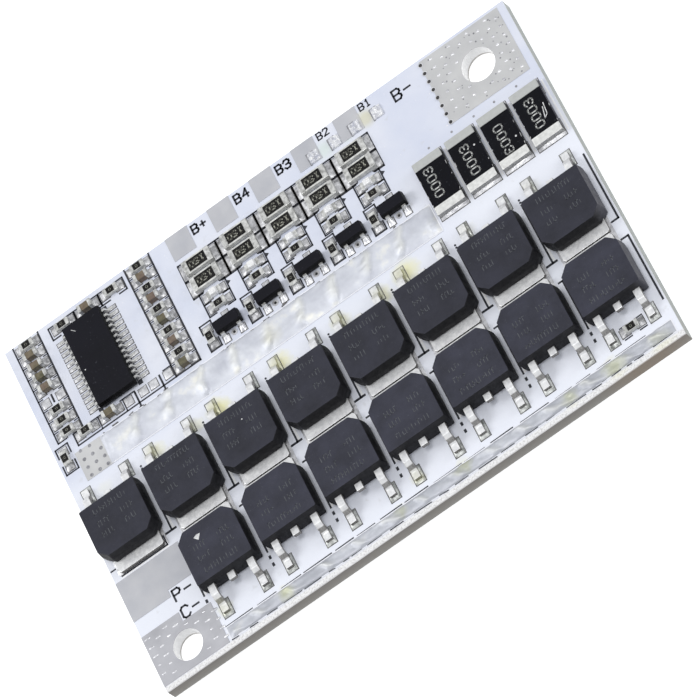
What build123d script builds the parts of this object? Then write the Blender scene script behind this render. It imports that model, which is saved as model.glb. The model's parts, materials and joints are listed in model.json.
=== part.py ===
from build123d import *
import os
from math import cos, hypot, pi, radians, sin, tan

# Battery management board, in millimetres. X runs along the long edge, Y towards the edge with
# the cell tap pads, Z up. The origin is the centre of the flat underside.

# Circuit board and the tinned copper lands on it
board_thickness = 1.6
land_thickness = 0.05
seat = board_thickness + land_thickness

# Power transistor: moulded body, drain tab with the cut centre lead, two outer leads
fet_body_width = 6.6
fet_body_depth = 6.1
fet_body_height = 2.3
fet_tab_chamfer = 0.95
fet_lead_corner = 0.15
fet_draft = 7.0
fet_tab_width = 5.3
fet_tab_reach = 1.12
fet_tab_thickness = 0.5
fet_tab_corner = 0.2
fet_slug_depth = 4.4
fet_lead_width = 0.76
fet_lead_thickness = 0.5
fet_lead_spread = 2.285
fet_lead_level = 1.1
fet_lead_bend = 0.22
fet_lead_root = 0.5
fet_lead_run = 1.25
fet_lead_slope = 0.5
fet_lead_foot = 1.02
fet_stub_reach = 0.75
fet_lead_reach = fet_lead_run + fet_lead_slope + fet_lead_foot

# Two rows of power transistors, tab to tab
rear_row_count = 8
front_row_count = 7
fet_gap = 0.86
fet_left_margin = 0.38
fet_right_margin = 0.8
fet_tab_gap = 0.16
fet_pitch = fet_body_width + fet_gap
drain_land_border = 0.3
drain_land_under = 4.9
lead_land_width = 1.1
lead_land_length = 1.84
lead_land_overhang = 0.37

# Solder bars and the bus lands under them
bus_land_border = 0.12
front_bus_width = 1.56
front_bus_margin = 0.62
front_bus_gap = 0.78
front_bus_pad_gap = 0.2
front_bus_right = 0.5
front_bar_pitch = 3.8
front_bar_low = 0.22
front_bar_high = 0.5
rear_bus_width = 3.42
rear_bus_gap = 0.58
rear_bus_left = 2.0
rear_bus_shunt_gap = 0.31
rear_bar_left = 5.0
rear_bar_pitch = 3.84
rear_bar_low = 0.2
rear_bar_high = 0.5
bar_swing = 0.06
bar_swing_step = 2.3
bar_end_height = 0.08
bar_facets = 6

# Small chip parts: resistors, capacitors and lamps share one footprint
chip_length = 1.6
chip_width = 0.8
chip_resistor_height = 0.45
chip_capacitor_height = 0.8
chip_wrap = 0.36
chip_plating = 0.04
chip_land = 0.9
chip_land_offset = 0.87

# Bleed resistors
bleed_length = 3.2
bleed_width = 1.6
bleed_height = 0.6
bleed_wrap = 0.55
bleed_plating = 0.05
bleed_land_length = 1.2
bleed_land_width = 1.75
bleed_land_offset = 1.55

# Shunts
shunt_count = 4
shunt_length = 6.35
shunt_width = 3.2
shunt_height = 0.7
shunt_wrap = 0.95
shunt_plating = 0.08
shunt_gap = 0.6
shunt_right_margin = 0.66
shunt_lead_in = 2.02
shunt_land_overhang = 0.35
shunt_land_under = 1.5
shunt_front_gap = 1.51

# Monitor chip
monitor_body_width = 4.4
monitor_body_length = 9.7
monitor_body_height = 1.0
monitor_standoff = 0.1
monitor_draft = 10.0
monitor_leads_per_side = 14
monitor_lead_pitch = 0.65
monitor_lead_width = 0.24
monitor_lead_thickness = 0.12
monitor_lead_span = 6.4
monitor_lead_level = 0.58
monitor_lead_run = 0.28
monitor_lead_slope = 0.16
monitor_land_width = 0.36
monitor_land_length = 1.3
monitor_land_overhang = 0.33

# Balancing channels: a small transistor with its gate resistor, a series resistor, a lamp and
# two bleed resistors, stacked from front to rear
channel_count = 5
small_fet_length = 2.9
small_fet_width = 1.3
small_fet_height = 0.95
small_fet_standoff = 0.08
small_fet_draft = 8.0
small_fet_span = 2.4
small_fet_lead_width = 0.42
small_fet_lead_thickness = 0.13
small_fet_lead_spread = 0.95
small_fet_lead_level = 0.5
small_fet_lead_run = 0.14
small_fet_lead_slope = 0.12
small_fet_land_width = 0.7
small_fet_land_length = 0.8
gate_resistor_gap = 0.45
channel_gap = 0.75
bleed_gap = 1.41
channel_lead_in = 2.17
transistor_front_gap = 0.71
series_resistor_gap = 0.95
lamp_gap = 0.6
bleed_front_gap = 0.55
bleed_rear_gap = 0.45
lamp_base_height = 0.24
lamp_lens_height = 0.34
lamp_lens_draft = 12.0

# Cell tap pads on the rear edge
tap_pad_width = 2.62
tap_pad_depth = 2.8
tap_pad_pitch = 5.05
tap_pad_left = 19.51
tap_pad_gap = 0.9

# Columns and rows of small parts round the monitor chip
column_a_left = 1.68
column_a_pattern = "RCCCC.RRR"
column_b_pattern = "RCRCRCRCRC"
column_gap = 0.557
column_rear_margin = 0.415
column_front_gap = 0.69
monitor_left_gap = 2.22
monitor_right_gap = 3.3
monitor_front_gap = 0.5
monitor_rear_gap = 0.59
chip_row_gap = 1.365
chip_row_shift = 0.11
front_row_pattern = "RC.."
front_row_gap = 0.91
rear_row_pattern = "RCR"
rear_row_shift = 0.89
rear_row_margin = 0.86
lone_resistor_left = 1.05
lone_resistor_rear = 14.17
gap_resistor_lift = 0.4

# Terminal pads and their holes
b_minus_hole_radius = 1.8
b_minus_hole_right = 5.0
b_minus_hole_rear = 4.43
b_minus_pad_left = 10.07
b_minus_pad_right = 0.8
b_minus_pad_front = 8.24
b_minus_pad_rear = 0.31
c_minus_hole_radius = 1.6
c_minus_hole_left = 3.9
c_minus_hole_front = 3.0
c_minus_pad_gap = 0.605
c_minus_pad_front = 0.6
c_minus_pad_rear = 6.53
p_minus_pad_gap = 0.44
p_minus_pad_front = 8.4
p_minus_tab_gap = 0.41
mark_notch_left = 4.43
p_minus_notch_depth = 0.78
c_minus_notch_depth = 1.09

# The board is as deep as its stacks of parts, from the front edge to the rear edge
front_bus_land_y = front_bus_margin
front_row_tip = front_bus_land_y + front_bus_width + front_bus_gap + lead_land_overhang
front_row_tab_face = front_row_tip + fet_lead_reach + fet_body_depth
rear_row_tab_face = front_row_tab_face + 2 * fet_tab_reach + fet_tab_gap
rear_row_tip = rear_row_tab_face + fet_body_depth + fet_lead_reach
rear_bus_land_y = rear_row_tip + lead_land_overhang + rear_bus_gap
field_front = rear_bus_land_y + rear_bus_width
channel_stack = (transistor_front_gap + small_fet_span + series_resistor_gap + chip_width
                 + lamp_gap + chip_width + bleed_front_gap + bleed_width + bleed_rear_gap
                 + bleed_width + tap_pad_gap + tap_pad_depth)
monitor_stack = (front_row_gap + 2 * chip_width + monitor_front_gap + monitor_body_length
                 + monitor_rear_gap + rear_row_margin)
column_pitch = chip_width + column_gap
column_stack = (column_front_gap + chip_width + (len(column_b_pattern) - 1) * column_pitch
                + column_rear_margin)
board_width = field_front + max(channel_stack, monitor_stack, column_stack)

# and as long as the longer of its transistor row and its row of small parts
channel_pitch = small_fet_length + channel_gap + chip_width + gate_resistor_gap
bleed_pitch = bleed_length + bleed_gap
shunt_pitch = shunt_width + shunt_gap
column_a_offset = column_a_left + chip_length / 2
monitor_offset = column_a_offset + chip_length / 2 + monitor_left_gap + monitor_lead_span / 2
column_b_offset = monitor_offset + monitor_lead_span / 2 + monitor_right_gap + chip_length / 2
gate_resistor_offset = column_b_offset + chip_length / 2 + channel_lead_in + chip_width / 2
channel_offset = gate_resistor_offset + chip_width / 2 + gate_resistor_gap + small_fet_length / 2
last_channel_right = channel_offset + (channel_count - 1) * channel_pitch + small_fet_length / 2
shunt_offset = last_channel_right + shunt_lead_in + shunt_width / 2
parts_length = (shunt_offset + (shunt_count - 1) * shunt_pitch + shunt_width / 2
                + shunt_right_margin)
row_length = (fet_left_margin + fet_body_width + (rear_row_count - 1) * fet_pitch
              + fet_right_margin)
board_length = max(row_length, parts_length)

# Edges and places in the board's own frame
left = -board_length / 2
right = board_length / 2
front = -board_width / 2
rear = board_width / 2
first_column_x = left + fet_left_margin + fet_body_width / 2
first_front_x = first_column_x + (rear_row_count - front_row_count) * fet_pitch
c_minus_right_x = first_front_x - fet_lead_spread - lead_land_width / 2 - c_minus_pad_gap
p_minus_right_x = first_front_x - fet_body_width / 2 - p_minus_pad_gap
p_minus_rear_y = front + rear_row_tab_face - fet_tab_reach - p_minus_tab_gap
small_fet_y = front + field_front + transistor_front_gap + small_fet_span / 2
series_resistor_y = small_fet_y + small_fet_span / 2 + series_resistor_gap + chip_width / 2
lamp_y = series_resistor_y + chip_width + lamp_gap
bleed_front_y = lamp_y + chip_width / 2 + bleed_front_gap + bleed_width / 2
bleed_rear_y = bleed_front_y + bleed_width + bleed_rear_gap
monitor_y = (rear - rear_row_margin - chip_width - monitor_rear_gap
             - monitor_body_length / 2)


def plate(x_low, x_high, y_low, y_high):
    """A tinned land on the board's top face between two corners."""
    size = (x_high - x_low, y_high - y_low, land_thickness)
    low_corner = (Align.MIN, Align.MIN, Align.MIN)
    return Pos(x_low, y_low, board_thickness) * Box(*size, align=low_corner)


def block(x_size, y_size, z_low, z_high):
    """A block centred on the Z axis between two heights."""
    sits = (Align.CENTER, Align.CENTER, Align.MIN)
    return Pos(0, 0, z_low) * Box(x_size, y_size, z_high - z_low, align=sits)


def through_hole(x, y, radius):
    sits = (Align.CENTER, Align.CENTER, Align.MIN)
    return Pos(x, y, 0) * Cylinder(radius, seat, align=sits)


def drafted_step(outline, z_wide, z_narrow, draft):
    """A solid from the outline at one height to its drafted-in copy at another."""
    inset = abs(z_narrow - z_wide) * tan(radians(draft))
    wide = Pos(0, 0, z_wide) * outline
    narrow = Pos(0, 0, z_narrow) * offset(outline, -inset)
    return loft([wide, narrow], ruled=True)


def moulded_body(outline, foot, top, level, band, draft):
    """A moulded package: a straight band at the leads, drafted in above and below it."""
    band_low = level - band / 2
    band_high = level + band / 2
    middle = Pos(0, 0, band_low) * extrude(outline, band)
    upper = drafted_step(outline, band_high, top, draft)
    lower = drafted_step(outline, band_low, foot, draft)
    return upper + middle + lower


def eased(points, cut):
    """The same route with each inner corner cut off, a short way before and after it."""
    route = [points[0]]
    for before, corner, after in zip(points, points[1:], points[2:]):
        for end in (before, after):
            reach = hypot(end[0] - corner[0], end[1] - corner[1])
            share = cut / reach
            route.append((corner[0] + (end[0] - corner[0]) * share,
                          corner[1] + (end[1] - corner[1]) * share))
    return route + [points[-1]]


def folded_strip(points, width, thickness):
    """A flat strip whose centre line runs through (y, z) points."""
    route = Polyline(*[(0, y, z) for y, z in points])
    start = Plane(origin=route @ 0, x_dir=(1, 0, 0), z_dir=route % 0)
    return sweep(start * Rectangle(width, thickness), path=route, transition=Transition.RIGHT)


# Power transistor, standing on z = 0 with its tab face on y = 0 and its leads towards +Y


def fet_outer_lead(side):
    level = fet_lead_level
    floor = fet_lead_thickness / 2
    knee = fet_body_depth + fet_lead_run
    heel = knee + fet_lead_slope
    points = [(fet_body_depth - fet_lead_root, level), (knee, level),
              (heel, floor), (heel + fet_lead_foot, floor)]
    strip = folded_strip(eased(points, fet_lead_bend), fet_lead_width, fet_lead_thickness)
    return Pos(side * fet_lead_spread, 0, 0) * strip


def fet_drain_frame():
    """The tab, the heat slug under the body and the cut centre lead, all of one strip."""
    slab_length = fet_tab_reach + fet_slug_depth
    slab = Pos(0, slab_length / 2 - fet_tab_reach, 0) * Rectangle(fet_tab_width, slab_length)
    tab_corners = slab.vertices().group_by(Axis.Y)[0]
    slug = extrude(chamfer(tab_corners, fet_tab_corner), fet_tab_thickness)
    low = fet_tab_thickness / 2
    level = fet_lead_level
    stub_end = fet_body_depth + fet_stub_reach
    rise_start = fet_slug_depth - fet_lead_thickness
    rise_end = rise_start + level
    points = [(rise_start - fet_lead_thickness, low), (rise_start, low),
              (rise_end, level), (stub_end, level)]
    return slug + folded_strip(points, fet_lead_width, fet_lead_thickness)


def fet_body(frame_pieces):
    half = fet_body_width / 2
    depth = fet_body_depth
    cut = fet_tab_chamfer
    outline = make_face(Polyline(
        (-half, cut), (-half + cut, 0), (half - cut, 0), (half, cut),
        (half, depth), (-half, depth), close=True))
    lead_corners = outline.vertices().group_by(Axis.Y)[-1]
    outline = chamfer(lead_corners, fet_lead_corner)
    body = moulded_body(outline, 0, fet_body_height, fet_lead_level, fet_lead_thickness,
                        fet_draft)
    for piece in frame_pieces:
        body = body - piece
    return body


fet_frame = [fet_drain_frame(), fet_outer_lead(-1), fet_outer_lead(1)]
fet_moulding = fet_body(fet_frame)


def fet_places():
    """Where each power transistor stands: the rear row first, then the front row."""
    rear_y = front + rear_row_tab_face
    front_y = front + front_row_tab_face
    first_front = rear_row_count - front_row_count
    rear_places = [Pos(first_column_x + column * fet_pitch, rear_y, seat)
                   for column in range(rear_row_count)]
    front_places = [Pos(first_column_x + column * fet_pitch, front_y, seat) * Rot(0, 0, 180)
                    for column in range(first_front, rear_row_count)]
    return rear_places, front_places


# Chip parts, lying along X on z = 0 with their centre on the Z axis


def end_cap(length, width, height, wrap, plating, side):
    """Plating that wraps the top, the end and the underside of a core."""
    outer = block(wrap, width, 0, height)
    inner = Pos(-plating, 0, 0) * block(wrap, width, plating, height - plating)
    cap = Pos((length - wrap) / 2, 0, 0) * (outer - inner)
    return cap if side > 0 else Rot(0, 0, 180) * cap


def resistor(length, width, height, wrap, plating):
    """A flat core with a coat on top between two end caps."""
    core = block(length - 2 * plating, width, plating, height - plating)
    coat = block(length - 2 * wrap, width, height - plating, height)
    caps = [end_cap(length, width, height, wrap, plating, side) for side in (-1, 1)]
    return core + coat, caps


def capacitor():
    """A brick of ceramic whose ends sit in plated cups."""
    inset = chip_width - 2 * chip_plating
    top = chip_capacitor_height - chip_plating
    core = block(chip_length - 2 * chip_plating, inset, chip_plating, top)
    cups = []
    for side in (-1, 1):
        end = Pos(side * (chip_length - chip_wrap) / 2, 0, 0) * block(
            chip_wrap, chip_width, 0, chip_capacitor_height)
        cups.append(end - core)
    return core, cups


def lamp():
    """A lamp: a thin base between two end caps, with a clear lens on top."""
    base = block(chip_length - 2 * chip_plating, chip_width, chip_plating,
                 lamp_base_height - chip_plating)
    deck = block(chip_length - 2 * chip_wrap, chip_width, lamp_base_height - chip_plating,
                 lamp_base_height)
    caps = [end_cap(chip_length, chip_width, lamp_base_height, chip_wrap, chip_plating, side)
            for side in (-1, 1)]
    lens_outline = Rectangle(chip_length - 2 * chip_wrap, chip_width)
    lens = Pos(0, 0, lamp_base_height) * extrude(
        lens_outline, lamp_lens_height, taper=lamp_lens_draft)
    return base + deck, caps, lens


def small_lead(span, body_width, level, thickness, run, slope, width):
    """A gull-wing lead from a package's side, reaching half the span from its centre."""
    floor = thickness / 2
    root = body_width / 2
    points = [(root, level), (root + run, level), (root + run + slope, floor),
              (span / 2, floor)]
    return folded_strip(points, width, thickness)


def small_fet():
    """A three-legged transistor, one lead towards +Y and two towards -Y."""
    lead = small_lead(small_fet_span, small_fet_width, small_fet_lead_level,
                      small_fet_lead_thickness, small_fet_lead_run, small_fet_lead_slope,
                      small_fet_lead_width)
    turned = Rot(0, 0, 180) * lead
    leads = [lead] + [Pos(side * small_fet_lead_spread, 0, 0) * turned for side in (-1, 1)]
    body = moulded_body(Rectangle(small_fet_length, small_fet_width), small_fet_standoff,
                        small_fet_standoff + small_fet_height, small_fet_lead_level,
                        small_fet_lead_thickness, small_fet_draft)
    return body, leads


def monitor_chip():
    """The monitor chip's body, with rows of leads on its two long sides."""
    lead = small_lead(monitor_lead_span, monitor_body_width, monitor_lead_level,
                      monitor_lead_thickness, monitor_lead_run, monitor_lead_slope,
                      monitor_lead_width)
    first = -(monitor_leads_per_side - 1) * monitor_lead_pitch / 2
    leads = []
    for number in range(monitor_leads_per_side):
        along = first + number * monitor_lead_pitch
        leads.append(Pos(0, along, 0) * Rot(0, 0, -90) * lead)
        leads.append(Pos(0, along, 0) * Rot(0, 0, 90) * lead)
    body = moulded_body(Rectangle(monitor_body_width, monitor_body_length), monitor_standoff,
                        monitor_standoff + monitor_body_height, monitor_lead_level,
                        monitor_lead_thickness, monitor_draft)
    return body, leads


# Every small part is placed by its kind, its centre and whether it lies along Y

chip_resistors = []
chip_capacitors = []
chip_terminals = []
small_lands = []
resistor_shape = resistor(chip_length, chip_width, chip_resistor_height, chip_wrap, chip_plating)
capacitor_shape = capacitor()


def place_lands(x, y, along_y, offset, length, width):
    """The two lands of one part."""
    for side in (-1, 1):
        if along_y:
            cx, cy, dx, dy = x, y + side * offset, width, length
        else:
            cx, cy, dx, dy = x + side * offset, y, length, width
        small_lands.append(plate(cx - dx / 2, cx + dx / 2, cy - dy / 2, cy + dy / 2))


def place_chip(kind, x, y, along_y=False):
    """A resistor (R), a capacitor (C) or an empty place, with its two lands."""
    place_lands(x, y, along_y, chip_land_offset, chip_land, chip_land)
    spot = Pos(x, y, seat) * Rot(0, 0, 90 if along_y else 0)
    if kind == "R":
        body, ends = resistor_shape
        chip_resistors.append(spot * body)
        chip_terminals.extend(spot * end for end in ends)
    if kind == "C":
        body, ends = capacitor_shape
        chip_capacitors.append(spot * body)
        chip_terminals.extend(spot * end for end in ends)


def place_columns():
    column_rear = rear - column_rear_margin - chip_width / 2
    for pattern, offset in ((column_a_pattern, column_a_offset),
                            (column_b_pattern, column_b_offset)):
        for number, kind in enumerate(pattern):
            place_chip(kind, left + offset, column_rear - number * column_pitch)


def place_rows():
    pitch = chip_length + chip_row_gap
    front_y = monitor_y - monitor_body_length / 2 - monitor_front_gap - chip_width / 2
    rear_y = rear - rear_row_margin - chip_width / 2
    for pattern, y, shift in ((front_row_pattern, front_y, -chip_row_shift),
                              (rear_row_pattern, rear_y, rear_row_shift)):
        first = left + monitor_offset + shift - (len(pattern) - 1) * pitch / 2
        for number, kind in enumerate(pattern):
            place_chip(kind, first + number * pitch, y)


def place_single_resistors():
    place_chip("R", left + lone_resistor_left, rear - lone_resistor_rear, along_y=True)
    last_column = first_column_x + (rear_row_count - 1) * fet_pitch
    place_chip("R", last_column, front + front_row_tip + gap_resistor_lift)


def channel_parts():
    """The balancing channels: small transistors, lamps and bleed resistors by kind."""
    kinds = {"bleed_bodies": [], "bleed_caps": [], "fet_bodies": [], "fet_leads": [],
             "lamp_bases": [], "lamp_caps": [], "lamp_lenses": []}
    bleed_body, bleed_ends = resistor(bleed_length, bleed_width, bleed_height, bleed_wrap,
                                      bleed_plating)
    transistor_body, transistor_leads = small_fet()
    lamp_base, lamp_ends, lamp_lens = lamp()
    for number in range(channel_count):
        bleed_x = left + channel_offset + number * bleed_pitch
        fet_x = left + channel_offset + number * channel_pitch
        gate_x = left + gate_resistor_offset + number * channel_pitch
        for y in (bleed_front_y, bleed_rear_y):
            spot = Pos(bleed_x, y, seat)
            kinds["bleed_bodies"].append(spot * bleed_body)
            kinds["bleed_caps"].extend(spot * end for end in bleed_ends)
            place_lands(bleed_x, y, False, bleed_land_offset, bleed_land_length,
                        bleed_land_width)
        spot = Pos(bleed_x, lamp_y, seat)
        kinds["lamp_bases"].append(spot * lamp_base)
        kinds["lamp_caps"].extend(spot * end for end in lamp_ends)
        kinds["lamp_lenses"].append(spot * lamp_lens)
        place_lands(bleed_x, lamp_y, False, chip_land_offset, chip_land, chip_land)
        place_chip("R", bleed_x, series_resistor_y)
        place_chip("R", gate_x, small_fet_y, along_y=True)
        spot = Pos(fet_x, small_fet_y, seat)
        kinds["fet_bodies"].append(spot * transistor_body)
        kinds["fet_leads"].extend(spot * lead for lead in transistor_leads)
        for dx, side in ((0, 1), (-small_fet_lead_spread, -1), (small_fet_lead_spread, -1)):
            land_x = fet_x + dx
            land_y = small_fet_y + side * small_fet_span / 2
            half_x = small_fet_land_width / 2
            half_y = small_fet_land_length / 2
            small_lands.append(plate(land_x - half_x, land_x + half_x,
                                     land_y - half_y, land_y + half_y))
    return kinds


def monitor_lands():
    x = left + monitor_offset
    outer = monitor_lead_span / 2 + monitor_land_overhang
    first = monitor_y - (monitor_leads_per_side - 1) * monitor_lead_pitch / 2
    for number in range(monitor_leads_per_side):
        y = first + number * monitor_lead_pitch
        y_low = y - monitor_land_width / 2
        y_high = y + monitor_land_width / 2
        small_lands.append(plate(x + outer - monitor_land_length, x + outer, y_low, y_high))
        small_lands.append(plate(x - outer, x - outer + monitor_land_length, y_low, y_high))


# Shunts lie along Y behind the right end of the transistor rows


def shunts():
    body, ends = resistor(shunt_length, shunt_width, shunt_height, shunt_wrap, shunt_plating)
    front_end = front + rear_row_tip + lead_land_overhang + shunt_front_gap
    y = front_end + shunt_land_overhang + shunt_length / 2
    bodies, caps, lands = [], [], []
    for number in range(shunt_count):
        x = left + shunt_offset + number * shunt_pitch
        spot = Pos(x, y, seat) * Rot(0, 0, 90)
        bodies.append(spot * body)
        caps.extend(spot * end for end in ends)
        half = shunt_width / 2
        tip = shunt_length / 2
        outer = tip + shunt_land_overhang
        inner = tip - shunt_land_under
        lands.append(plate(x - half, x + half, y + inner, y + outer))
        lands.append(plate(x - half, x + half, y - outer, y - inner))
    return bodies, caps, lands


# Lands under the power transistors


def drain_lands():
    """One land under each facing pair of tabs; the first rear transistor has its own."""
    half = fet_tab_width / 2 + drain_land_border
    rear_y = front + rear_row_tab_face
    front_y = front + front_row_tab_face
    lands = []
    for column in range(rear_row_count):
        x = first_column_x + column * fet_pitch
        alone = column < rear_row_count - front_row_count
        low = rear_y - fet_tab_reach if alone else front_y - drain_land_under
        lands.append(plate(x - half, x + half, low, rear_y + drain_land_under))
    return lands


def lead_lands():
    half = lead_land_width / 2
    rear_outer = front + rear_row_tip + lead_land_overhang
    front_outer = front + front_row_tip - lead_land_overhang
    lands = []
    for column in range(rear_row_count):
        for side in (-1, 1):
            x = first_column_x + column * fet_pitch + side * fet_lead_spread
            lands.append(plate(x - half, x + half, rear_outer - lead_land_length, rear_outer))
            if column >= rear_row_count - front_row_count:
                lands.append(plate(x - half, x + half, front_outer,
                                   front_outer + lead_land_length))
    return lands


# Solder bars: a row of low mounds that run into each other, with a ridge at each pitch


def bar_cross_section(y, width, height):
    """Half an oval across the bar, in a few straight steps."""
    steps = [pi * step / bar_facets for step in range(bar_facets + 1)]
    rim = [(y + cos(angle) * width / 2, seat + sin(angle) * height) for angle in steps]
    return Plane.YZ * make_face(Polyline(*rim, close=True))


def solder_bar(x_low, x_high, y, width, pitch, low, high):
    """The bar seen from the front rises and falls; seen from its end it is half an oval."""
    stations = int((x_high - x_low) / (pitch / 2)) - 1
    step = (x_high - x_low) / (stations + 1)
    crest = [(x_low, seat + bar_end_height)]
    for number in range(1, stations + 1):
        height = low if number % 2 else high
        height += bar_swing * sin(bar_swing_step * number)
        crest.append((x_low + number * step, seat + height))
    crest.append((x_high, seat + bar_end_height))
    wave = Plane.XZ * make_face(Polyline((x_low, seat), *crest, (x_high, seat), close=True))
    along = extrude(wave, board_width, both=True)
    across = extrude(bar_cross_section(y, width, high + bar_swing), board_length, both=True)
    return along & across


def bus_lands_and_bars():
    front_low = front + front_bus_land_y
    rear_low = front + rear_bus_land_y
    front_x = (c_minus_right_x + front_bus_pad_gap, right - front_bus_right)
    first_shunt_left = left + shunt_offset - shunt_width / 2
    rear_x = (left + rear_bus_left, first_shunt_left - rear_bus_shunt_gap)
    lands = [plate(*front_x, front_low, front_low + front_bus_width),
             plate(*rear_x, rear_low, rear_low + rear_bus_width)]
    inset = bus_land_border
    front_bar = solder_bar(front_x[0] + inset, front_x[1] - inset,
                           front_low + front_bus_width / 2, front_bus_width - 2 * inset,
                           front_bar_pitch, front_bar_low, front_bar_high)
    rear_bar = solder_bar(left + rear_bar_left, rear_x[1] - inset,
                          rear_low + rear_bus_width / 2, rear_bus_width - 2 * inset,
                          rear_bar_pitch, rear_bar_low, rear_bar_high)
    return lands, front_bar, rear_bar


# Terminal pads and the board with its two holes

b_minus_hole = through_hole(right - b_minus_hole_right, rear - b_minus_hole_rear,
                            b_minus_hole_radius)
c_minus_hole = through_hole(left + c_minus_hole_left, front + c_minus_hole_front,
                            c_minus_hole_radius)


def circuit_board():
    return block(board_length, board_width, 0, board_thickness) - b_minus_hole - c_minus_hole


def terminal_pads():
    """The three large pads; a mask window for its mark is cut out of the P- and C- pads."""
    b_minus = plate(right - b_minus_pad_left, right - b_minus_pad_right,
                    rear - b_minus_pad_front, rear - b_minus_pad_rear) - b_minus_hole
    c_top = front + c_minus_pad_rear
    c_minus = plate(left, c_minus_right_x, front + c_minus_pad_front, c_top) - c_minus_hole
    c_minus = c_minus - plate(left + mark_notch_left, c_minus_right_x,
                              c_top - c_minus_notch_depth, c_top)
    p_low = front + p_minus_pad_front
    p_minus = plate(left, p_minus_right_x, p_low, p_minus_rear_y)
    p_minus = p_minus - plate(left + mark_notch_left, p_minus_right_x,
                              p_low, p_low + p_minus_notch_depth)
    return b_minus, p_minus, c_minus


def cell_tap_pads():
    pads = []
    for number in range(channel_count):
        x = left + tap_pad_left + number * tap_pad_pitch
        pads.append(plate(x, x + tap_pad_width, rear - tap_pad_depth, rear))
    return pads


# Write one file per named piece

os.makedirs("parts", exist_ok=True)


def write(name, solids):
    shape = solids[0] if len(solids) == 1 else Compound(children=solids)
    export_step(shape, f"parts/{name}.step")


place_columns()
place_rows()
place_single_resistors()
channels = channel_parts()
monitor_lands()
monitor_body, monitor_leads = monitor_chip()
monitor_spot = Pos(left + monitor_offset, monitor_y, seat)
shunt_bodies, shunt_caps, shunt_lands = shunts()
bus_lands, front_bar, rear_bar = bus_lands_and_bars()
b_minus_pad, p_minus_pad, c_minus_pad = terminal_pads()

write("circuit_board", [circuit_board()])
write("b_minus_pad", [b_minus_pad])
write("p_minus_pad", [p_minus_pad])
write("c_minus_pad", [c_minus_pad])
write("cell_tap_pads", cell_tap_pads())
write("bus_lands", bus_lands)
write("front_solder_bar", [front_bar])
write("rear_solder_bar", [rear_bar])
write("drain_lands", drain_lands())
write("lead_lands", lead_lands())
write("shunt_lands", shunt_lands)
write("small_part_lands", small_lands)

rear_places, front_places = fet_places()
for number, place in enumerate(rear_places + front_places, start=1):
    write(f"power_transistor_body_{number:02d}", [place * fet_moulding])
    write(f"power_transistor_frame_{number:02d}", [place * piece for piece in fet_frame])

for number, body in enumerate(shunt_bodies, start=1):
    write(f"shunt_body_{number}", [body])
write("shunt_end_caps", shunt_caps)
write("monitor_chip_body", [monitor_spot * monitor_body])
write("monitor_chip_leads", [monitor_spot * lead for lead in monitor_leads])
write("bleed_resistor_bodies", channels["bleed_bodies"])
write("bleed_resistor_end_caps", channels["bleed_caps"])
write("balance_transistor_bodies", channels["fet_bodies"])
write("balance_transistor_leads", channels["fet_leads"])
write("balance_lamp_bases", channels["lamp_bases"])
write("balance_lamp_end_caps", channels["lamp_caps"])
write("balance_lamp_lenses", channels["lamp_lenses"])
write("chip_resistor_bodies", chip_resistors)
write("chip_capacitor_bodies", chip_capacitors)
write("chip_part_end_caps", chip_terminals)
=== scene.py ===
"""Dresses the battery management board: solder, printed legend, flux, coats and finishes.

Lengths are in mm and turned into metres where a mesh is made. Seen from above, x runs to the
right along the long edge and y to the rear edge with the cell tap pads. Colours of three values
are written as a screen shows them, and colours of four values are linear.
"""
import json
import math
import random

import bmesh
import bpy
from mathutils import Matrix, Vector, noise


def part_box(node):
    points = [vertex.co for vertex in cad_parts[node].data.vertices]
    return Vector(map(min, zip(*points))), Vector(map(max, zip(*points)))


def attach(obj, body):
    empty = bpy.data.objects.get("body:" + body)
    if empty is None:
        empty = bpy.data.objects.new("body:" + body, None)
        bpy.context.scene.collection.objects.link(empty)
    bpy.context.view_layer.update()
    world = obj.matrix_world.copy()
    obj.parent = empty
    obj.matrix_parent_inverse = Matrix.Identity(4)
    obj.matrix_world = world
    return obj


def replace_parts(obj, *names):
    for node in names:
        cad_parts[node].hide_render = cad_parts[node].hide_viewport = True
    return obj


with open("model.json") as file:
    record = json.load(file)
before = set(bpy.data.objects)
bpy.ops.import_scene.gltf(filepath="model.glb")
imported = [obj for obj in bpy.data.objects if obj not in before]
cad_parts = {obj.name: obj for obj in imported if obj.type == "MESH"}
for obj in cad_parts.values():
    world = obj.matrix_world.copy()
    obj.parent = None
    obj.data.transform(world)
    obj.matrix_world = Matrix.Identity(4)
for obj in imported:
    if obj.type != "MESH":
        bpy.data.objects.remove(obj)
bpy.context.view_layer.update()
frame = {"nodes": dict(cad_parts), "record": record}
cad_nodes = frame["nodes"]

MM = 0.001
# in metres, how close two corners of a solid's mesh lie that are one corner
WELD = 1e-7
random.seed(15)


def box_of(node):
    """A node's lowest and highest corner."""
    low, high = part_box(node)
    return low / MM, high / MM


def islands(node):
    """The boxes of a node's separate solids, from left to right and front to back."""
    mesh = bmesh.new()
    mesh.from_mesh(cad_nodes[node].data)
    bmesh.ops.remove_doubles(mesh, verts=mesh.verts, dist=WELD)
    waiting = set(mesh.verts)
    boxes = []
    while waiting:
        reached, island = [waiting.pop()], []
        while reached:
            vertex = reached.pop()
            island.append(vertex.co / MM)
            for edge in vertex.link_edges:
                other = edge.other_vert(vertex)
                if other in waiting:
                    waiting.remove(other)
                    reached.append(other)
        boxes.append((Vector(min(point[i] for point in island) for i in range(3)),
                      Vector(max(point[i] for point in island) for i in range(3))))
    mesh.free()
    return sorted(boxes, key=lambda box: (round(box[0].x, 1), round(box[0].y, 1)))


def middle(box):
    return (box[0] + box[1]) / 2


def middles(*nodes):
    """The middles of all the separate solids of these nodes."""
    return [middle(box) for node in nodes for box in islands(node)]


board_low, board_high = box_of("circuit_board")
board_top = board_high.z
# the top of the lands, on which the parts stand
seat = box_of("lead_lands")[1].z
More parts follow.
